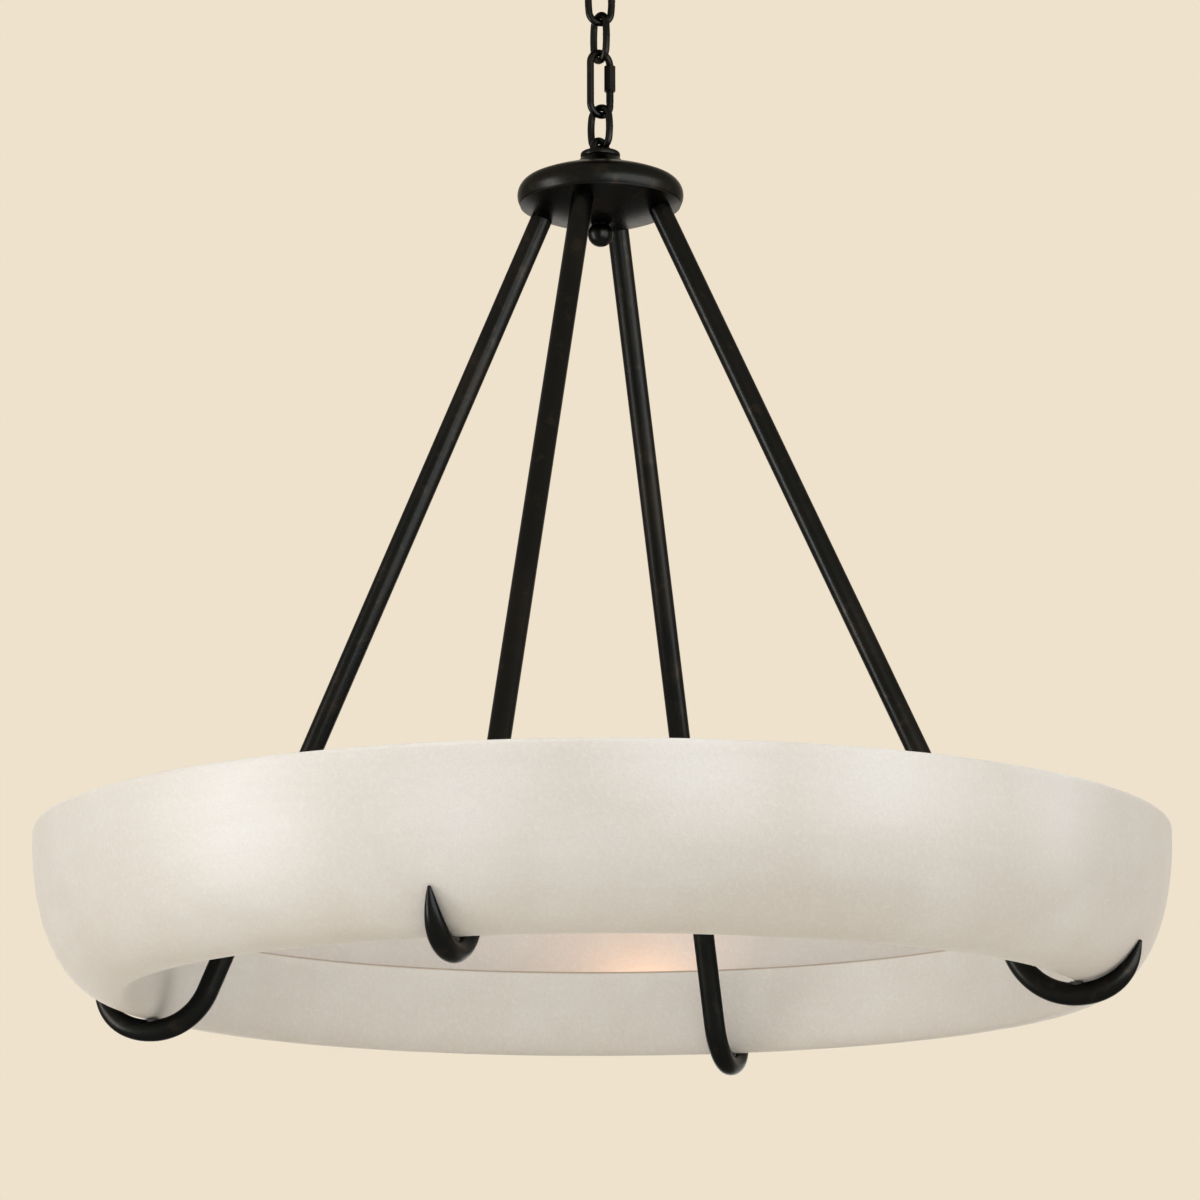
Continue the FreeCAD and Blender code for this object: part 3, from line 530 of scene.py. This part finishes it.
outer_face = oval_quarter((foot_radius, outer_spring), outer_radius - foot_radius,
                          outer_spring - stone_low.z, outside_roundness, steps=44)
inner_face = oval_quarter((foot_radius, inner_spring), inner_radius - foot_radius,
                          inner_spring - stone_low.z, outside_roundness, steps=20)
trough_face = oval_quarter((floor_end, outer_spring), outer_radius - wall - floor_end,
                           outer_spring - trough_floor, inside_roundness, steps=36)
ring_outline = outer_face + inner_face[-2::-1]
ring_outline += round_lip((inner_radius + lip, inner_spring), lip, 180, 90)[1:]
ring_outline += round_lip((wall_face - lip, inner_spring), lip, 90, 0)
ring_outline += straight((wall_face, inner_spring), (wall_face, corner_level), steps=10)
ring_outline += round_lip((floor_start, corner_level), trough_corner, 180, 270, steps=4)
ring_outline += straight((floor_start, trough_floor), (floor_end, trough_floor), steps=3)
ring_outline += trough_face[::-1]
ring_outline += round_lip((outer_radius - wall + lip, outer_spring), lip, 180, 90)[1:]
ring_outline += round_lip((outer_radius - lip, outer_spring), lip, 90, 0)[:-1]
ring_outline.reverse()
print(f"ring outline: {len(ring_outline)} points")

# %% [markdown]
# ## Spinning the stone
# The outline becomes a mesh of points only, and the lathe tree does the rest. The hollows are
# half a millimetre deep and a few centimetres wide: they can't be seen as shapes, but they keep
# the light on the stone from running too evenly.

# %% Spin the ring
def point_row(name, outline):
    mesh = bpy.data.meshes.new(name)
    mesh.from_pydata([(radius, 0, height) for radius, height in outline], [], [])
    return mesh


def spin(name, outline, columns, hollow_depth=0.0, hollows=1.0):
    sizes = {"Columns": columns, "Hollow depth": hollow_depth, "Hollows per metre": hollows}
    return run_tree(name, lathe, sizes, point_row(name + "_outline", outline))


stone = spin("turned_stone", ring_outline, columns=480, hollow_depth=0.0005, hollows=22.0)
settle(stone, "fixture")
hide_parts("alabaster_ring")

# %% [markdown]
# ## Threads
# A thread is a spiral with a small ridge on it. On the real light it is cut into the nipple at
# the ceiling, the open leg of the quick link and the lamp caps, and it shows when the canopy is
# off, the sleeve is screwed back or a lamp is taken out. A spiral curve with a six-sided section
# gives it. The tree stands it upright, then lays it over, moves it to its place and turns it
# about the chandelier's axis.

# %% The thread tree
thread, _, size = start_tree("thread", {
    "Radius": float, "Ridge": float, "Length": float, "Turns": float,
    "Place": tuple, "Lean": tuple, "Turn": tuple,
})
coil = size["Turns"].node("GeometryNodeCurveSpiral", None, {
    "Resolution": 28, "Rotations": size["Turns"], "Start Radius": size["Radius"],
    "End Radius": size["Radius"], "Height": size["Length"],
})
ridge_size = {"Resolution": 6, "Radius": size["Ridge"]}
ridge = coil.node("GeometryNodeCurvePrimitiveCircle", None, ridge_size)
sweeping = {"Curve": coil, "Profile Curve": ridge, "Fill Caps": True}
shape = coil.node("GeometryNodeCurveToMesh", None, sweeping)
placing = {"Geometry": shape, "Translation": size["Place"], "Rotation": size["Lean"]}
shape = coil.node("GeometryNodeTransform", None, placing)
shape = coil.node("GeometryNodeTransform", None, {"Geometry": shape, "Rotation": size["Turn"]})
close_tree(shape, "plated_steel")


def add_thread(name, body, slot, radius, ridge, length, pitch, place, lean=0.0, turn=0.0):
    """A thread on a body. It leans in radians, and turns about the axis in degrees."""
    piece = run_tree(name, thread, {
        "Radius": radius, "Ridge": ridge, "Length": length, "Turns": length / pitch,
        "Place": place, "Lean": (lean, 0.0, 0.0), "Turn": (0.0, 0.0, math.radians(turn)),
    })
    piece.data.materials[0] = finishes[slot]
    settle(piece, body)


# %% [markdown]
# ## Where the threads are
# The nipple's thread fills the gap between its nut and the loop's barrel. The quick link has one
# on each stub of its open leg, fine enough to pass inside the sleeve. Each lamp cap has a coarse
# rolled one, which rides with its own lamp. The first lamp's direction and the circle that all
# six lie on are those of the frame.

# %% Cut the threads
add_thread("nipple_thread", "ceiling_fitting", "plated_steel", radius=0.005, ridge=0.0003,
           length=0.0103, pitch=0.0011, place=(0.0, 0.0, -0.0175))

wire_radius = 0.003
quick_link_turn = 32.0
quick_leg = 0.0095
for stub, length, level in (("lower", 0.0165, -0.1560), ("upper", 0.0055, -0.1309)):
    add_thread(f"quick_link_{stub}_thread", "quick_link_body", "dark_bronze", radius=wire_radius,
               ridge=0.00022, length=length, pitch=0.0008, place=(quick_leg, 0.0, level),
               turn=quick_link_turn)

lamp_count = 6
first_lamp = 265.5965
lamp_circle = 0.40917
lamp_level = trough_floor + 0.040
holder_back = -0.0702
cap_thread_start = holder_back + 0.0156
for lamp in range(lamp_count):
    add_thread(f"cap_thread_{lamp + 1}", f"bulb_{lamp + 1}", "brass_cap", radius=0.0059,
               ridge=0.0003, length=0.0155, pitch=0.0025,
               place=(lamp_circle, cap_thread_start, lamp_level), lean=-math.pi / 2,
               turn=first_lamp + 360 * lamp / lamp_count)

# %% [markdown]
# ## Copies about the axis
# Knurl ridges, screws and bands all repeat about an upright axis. One small tree part does that:
# a row of points that all lie on the axis, each with its own turn, and one copy of the shape on
# each point. The shape is made at its distance from the axis, so turning it is enough.

# %% The turning helper
def around(shape, copies, first_turn):
    """Copies of a shape, evenly turned about the axis from a first angle in radians."""
    points = shape.node("GeometryNodeMeshLine", None, {"Count": copies, "Offset": (0, 0, 0)})
    index = shape.node("GeometryNodeInputIndex")
    turn = index / copies * math.tau + first_turn
    turned = shape.node("ShaderNodeCombineXYZ", None, {"Z": turn})
    copying = {"Points": points, "Instance": shape, "Rotation": turned}
    return shape.node("GeometryNodeInstanceOnPoints", None, copying)


# %% [markdown]
# ## The knurl on the canopy's collar
# The collar is a ring that fingers screw up against the canopy, so its side is ribbed for grip.
# Each rib is a slim six-sided rod, sunk to its middle in the collar.

# %% Knurl
knurl, _, size = start_tree("knurl", {
    "Ribs": int, "Radius": float, "Rib radius": float, "Length": float, "Level": float,
})
rib = size["Ribs"].node("GeometryNodeMeshCylinder", None, {
    "Vertices": 6, "Radius": size["Rib radius"], "Depth": size["Length"],
})
rib_place = rib.node("ShaderNodeCombineXYZ", None, {"X": size["Radius"], "Z": size["Level"]})
rib = rib.node("GeometryNodeTransform", None, {"Geometry": rib, "Translation": rib_place})
close_tree(around(rib, size["Ribs"], 0.0), "dark_bronze")
collar_knurl = run_tree("collar_knurl", knurl, {
    "Ribs": 72, "Radius": 0.019, "Rib radius": 0.00045, "Length": 0.0064, "Level": -0.0343,
})
settle(collar_knurl, "canopy_set")

# %% [markdown]
# ## Beads and bands
# A closed ring of wire round something: the weld bead half way down one leg of each chain link,
# the raised bands on the porcelain lampholders, and the rubber grommet where the conduit enters
# the lamp tray. One tree makes all of them: a circle, a smaller circle as its section, and copies
# about the axis.

# %% The band tree
band, _, size = start_tree("band", {
    "Copies": int, "Radius": float, "Thickness": float, "Place": tuple, "Lean": tuple,
    "First turn": float,
})
hoop_size = {"Resolution": 48, "Radius": size["Radius"]}
hoop = size["Radius"].node("GeometryNodeCurvePrimitiveCircle", None, hoop_size)
section_size = {"Resolution": 10, "Radius": size["Thickness"]}
section = hoop.node("GeometryNodeCurvePrimitiveCircle", None, section_size)
shape = hoop.node("GeometryNodeCurveToMesh", None, {"Curve": hoop, "Profile Curve": section})
placing = {"Geometry": shape, "Translation": size["Place"], "Rotation": size["Lean"]}
shape = hoop.node("GeometryNodeTransform", None, placing)
close_tree(around(shape, size["Copies"], size["First turn"]), "dark_bronze")


def add_band(name, body, slot, radius, thickness, place, turn, lean=0.0, copies=1):
    """Bands on a body. They lean in radians, and turn about the axis in degrees."""
    piece = run_tree(name, band, {
        "Copies": copies, "Radius": radius, "Thickness": thickness, "Place": place,
        "Lean": (lean, 0.0, 0.0), "First turn": math.radians(turn),
    })
    piece.data.materials[0] = finishes[slot]
    settle(piece, body)


# %% [markdown]
# ## Where the bands are
# The links hang at different turns, so each bead is given its link's height and turn. A bead and
# a holder's band are sunk a little into what they go round, as a weld and a moulded band are. The
# grommet stands on the tray, at the foot of the conduit that comes down from the last arm.

# %% Beads on the links, bands on the holders
link_leg = 0.010
bead = 0.0004
welds = (("upper_link", -0.0682, 14.0), ("second_link", -0.1009, -58.0),
         ("lower_link", -0.1793, -40.0))
for link, level, turn in welds:
    add_band(f"{link}_weld", link, "dark_bronze", wire_radius - bead / 3, bead,
             (link_leg, 0.0, level), turn)

holder_radius = 0.011
holder_band = 0.0006
for name, along in (("back", 0.0035), ("middle", 0.0185), ("front", 0.0285)):
    add_band(f"holder_bands_{name}", "fixture", "porcelain", holder_radius - holder_band / 4,
             holder_band, (lamp_circle, holder_back + along, lamp_level), first_lamp,
             lean=math.pi / 2, copies=lamp_count)

last_arm = 253.4
tray_from_wall = 0.0007
tray_width = 0.011
tray_height = 0.011
tray_middle = floor_start + tray_from_wall + tray_width / 2
tray_top = trough_floor + tray_height
conduit_radius = 0.0035
grommet = 0.0010
add_band("tray_grommet", "fixture", "pad_rubber", conduit_radius + grommet, grommet,
         (tray_middle, 0.0, tray_top + grommet), last_arm)

# %% [markdown]
# ## Cross-headed screws
# Six pan-headed screws hold the lamp brackets down on the tray. Their outline is spun on the
# lathe tree. A second tree sinks two crossing slots into the head and sets six copies round the
# ring. Both slots end at the same depth, which only the exact kind of Boolean cuts cleanly. The
# screws replace the plain ones of the frame.

# %% A screw without its slots
bracket_thickness = 0.0020
tray_wall = 0.0012
shank_radius = 0.0015
shank_length = bracket_thickness + tray_wall
head_radius = 0.0027
head_side = 0.0007
head_dome = 0.0013
head_roundness = 2.4
screw_outline = [(0.0, 0.0), (shank_radius, 0.0), (shank_radius, shank_length),
                 (head_radius, shank_length)]
screw_outline += oval_quarter((0.0, shank_length + head_side), head_radius, -head_dome,
                              head_roundness, steps=8)
blank = spin("screw_blank", screw_outline, columns=28)

# %% Slots and copies
screws, shape, size = start_tree("cross_screws", {
    "Copies": int, "Slot length": float, "Slot width": float, "Slot depth": float, "Top": float,
    "Place": tuple, "First turn": float,
})
bar_place = shape.node("ShaderNodeCombineXYZ", None, {"Z": size["Top"]})
exact_cut = {"operation": "DIFFERENCE", "solver": "EXACT"}
for along, across in (("Slot length", "Slot width"), ("Slot width", "Slot length")):
    bar_size = shape.node("ShaderNodeCombineXYZ", None, {
        "X": size[along], "Y": size[across], "Z": size["Slot depth"] * 2,
    })
    bar = shape.node("GeometryNodeMeshCube", None, {"Size": bar_size})
    bar = shape.node("GeometryNodeTransform", None, {"Geometry": bar, "Translation": bar_place})
    shape = shape.node("GeometryNodeMeshBoolean", exact_cut, {"Mesh 1": shape, "Mesh 2": bar})
placing = {"Geometry": shape, "Translation": size["Place"]}
shape = shape.node("GeometryNodeTransform", None, placing)
close_tree(around(shape, size["Copies"], size["First turn"]), "plated_steel")

screw_along = holder_back + 0.011
screw_out = math.sqrt(tray_middle ** 2 - screw_along ** 2)
pan_screws = run_tree("pan_screws", screws, {
    "Copies": lamp_count, "Slot length": 0.0034, "Slot width": 0.0007, "Slot depth": 0.0012,
    "Top": shank_length + head_side + head_dome,
    "Place": (screw_out, screw_along, tray_top - tray_wall),
    "First turn": math.radians(first_lamp),
}, blank.data)
bpy.data.objects.remove(blank)
settle(pan_screws, "fixture")
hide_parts("bracket_screws")

# %% [markdown]
# ## Light
# A plain studio: wide soft boxes in front, at both sides and overhead, and a low one in front that
# reaches the inside of the ring. These five are for the stone, and are kept out of the metal's
# gloss, because round dark arms would show them as broad grey stripes. Three more do the opposite
# and only draw highlights on the metal. A wide one at the front right gives each arm a soft
# highlight, a tall strip at the left gives it a thin one, and a low one behind picks out the
# underside of the hub.

# %% Soft boxes
def soft_box(name, place, target, width, height, watts, gloss_only=False):
    data = bpy.data.lights.new(name, "AREA")
    data.shape = "RECTANGLE"
    data.size = width
    data.size_y = height
    data.energy = watts
    box = bpy.data.objects.new(name, data)
    box.location = place
    aim = target - Vector(place)
    box.rotation_euler = aim.to_track_quat("-Z", "Y").to_euler()
    box.visible_camera = False
    box.visible_glossy = gloss_only
    box.visible_diffuse = not gloss_only
    scene.collection.objects.link(box)


arms_over_ring = 0.3
ring_middle = (stone_low + stone_high) / 2
arms_middle = ring_middle + Vector((0, 0, arms_over_ring))
soft_box("key", (-1.9, -3.9, 0.6), ring_middle, 2.4, 2.4, watts=26)
soft_box("low_front", (0.3, -3.8, -1.9), ring_middle, 2.0, 2.0, watts=20)
soft_box("left_side", (-3.6, -1.2, -0.6), ring_middle, 2.0, 2.0, watts=44)
soft_box("right_side", (3.6, -1.2, -0.6), ring_middle, 2.0, 2.0, watts=30)
soft_box("overhead", (0.0, -1.6, 2.2), ring_middle, 2.4, 2.4, watts=57)
soft_box("right_gloss", (1.84, -1.84, -0.6), arms_middle, 4.2, 2.0, watts=115, gloss_only=True)
soft_box("left_gloss", (-2.49, -0.74, -0.95), arms_middle, 0.75, 2.2, watts=62, gloss_only=True)
soft_box("back_gloss", (0.0, 2.6, -1.05), arms_middle, 2.6, 1.0, watts=16, gloss_only=True)

# %% [markdown]
# ## Sky
# The sky gives an even fill. For the eye it is a pale cream backdrop, and the gloss of metal and
# glass shows that same backdrop, so the Light Path node says which of the two a ray meets.

# %% Sky
world = bpy.data.worlds.new("studio")
world.use_nodes = True
world.node_tree.nodes.clear()
sky = Wire(world.node_tree)
fill_sockets = {"Color": rgb(1.0, 0.99, 0.97), "Strength": 0.40}
fill_light = sky.node("ShaderNodeBackground", None, fill_sockets)
backdrop_sockets = {"Color": rgb(0.86, 0.76, 0.61), "Strength": 1.0}
backdrop = sky.node("ShaderNodeBackground", None, backdrop_sockets)
seen = sky.node("ShaderNodeLightPath", out="Is Camera Ray")
glossy = sky.node("ShaderNodeLightPath", out="Is Glossy Ray")
through = sky.node("ShaderNodeLightPath", out="Is Transmission Ray")
shown = seen.math("MAXIMUM", glossy).math("MAXIMUM", through)
mixed = sky.node("ShaderNodeMixShader", None, {0: shown, 1: fill_light, 2: backdrop})
sky.node("ShaderNodeOutputWorld", None, {"Surface": mixed})
scene.world = world
scene.view_settings.view_transform = "Standard"

# %% [markdown]
# ## The floor
# The light hangs, so the floor is a pale disc a metre below the ring. It is outside the
# photograph's view and shows in the higher views. From below, its back is left clear.

# %% Floor
floor_level = -1.95
floor_radius = 3.2
floor_sides = 96


def floor_finish():
    material, wire = start_finish("floor_paint")
    tone = noise(metres(wire), 3.0, detail=3.0)
    paint = wire.node("ShaderNodeBsdfPrincipled", None, {
        "Base Color": tone.mix(rgb(0.80, 0.75, 0.66), rgb(0.84, 0.79, 0.70)),
        "Roughness": 0.8,
    })
    clear = wire.node("ShaderNodeBsdfTransparent")
    below = wire.node("ShaderNodeNewGeometry", out="Backfacing")
    both = wire.node("ShaderNodeMixShader", None, {0: below, 1: paint, 2: clear})
    wire.node("ShaderNodeOutputMaterial", None, {"Surface": both})
    return material


corners = []
for side in range(floor_sides):
    turn = math.tau * side / floor_sides
    corners.append((floor_radius * math.cos(turn), floor_radius * math.sin(turn), floor_level))
floor_mesh = bpy.data.meshes.new("floor")
floor_mesh.from_pydata(corners, [], [list(range(floor_sides))])
floor_mesh.materials.append(floor_finish())
floor = bpy.data.objects.new("floor", floor_mesh)
scene.collection.objects.link(floor)
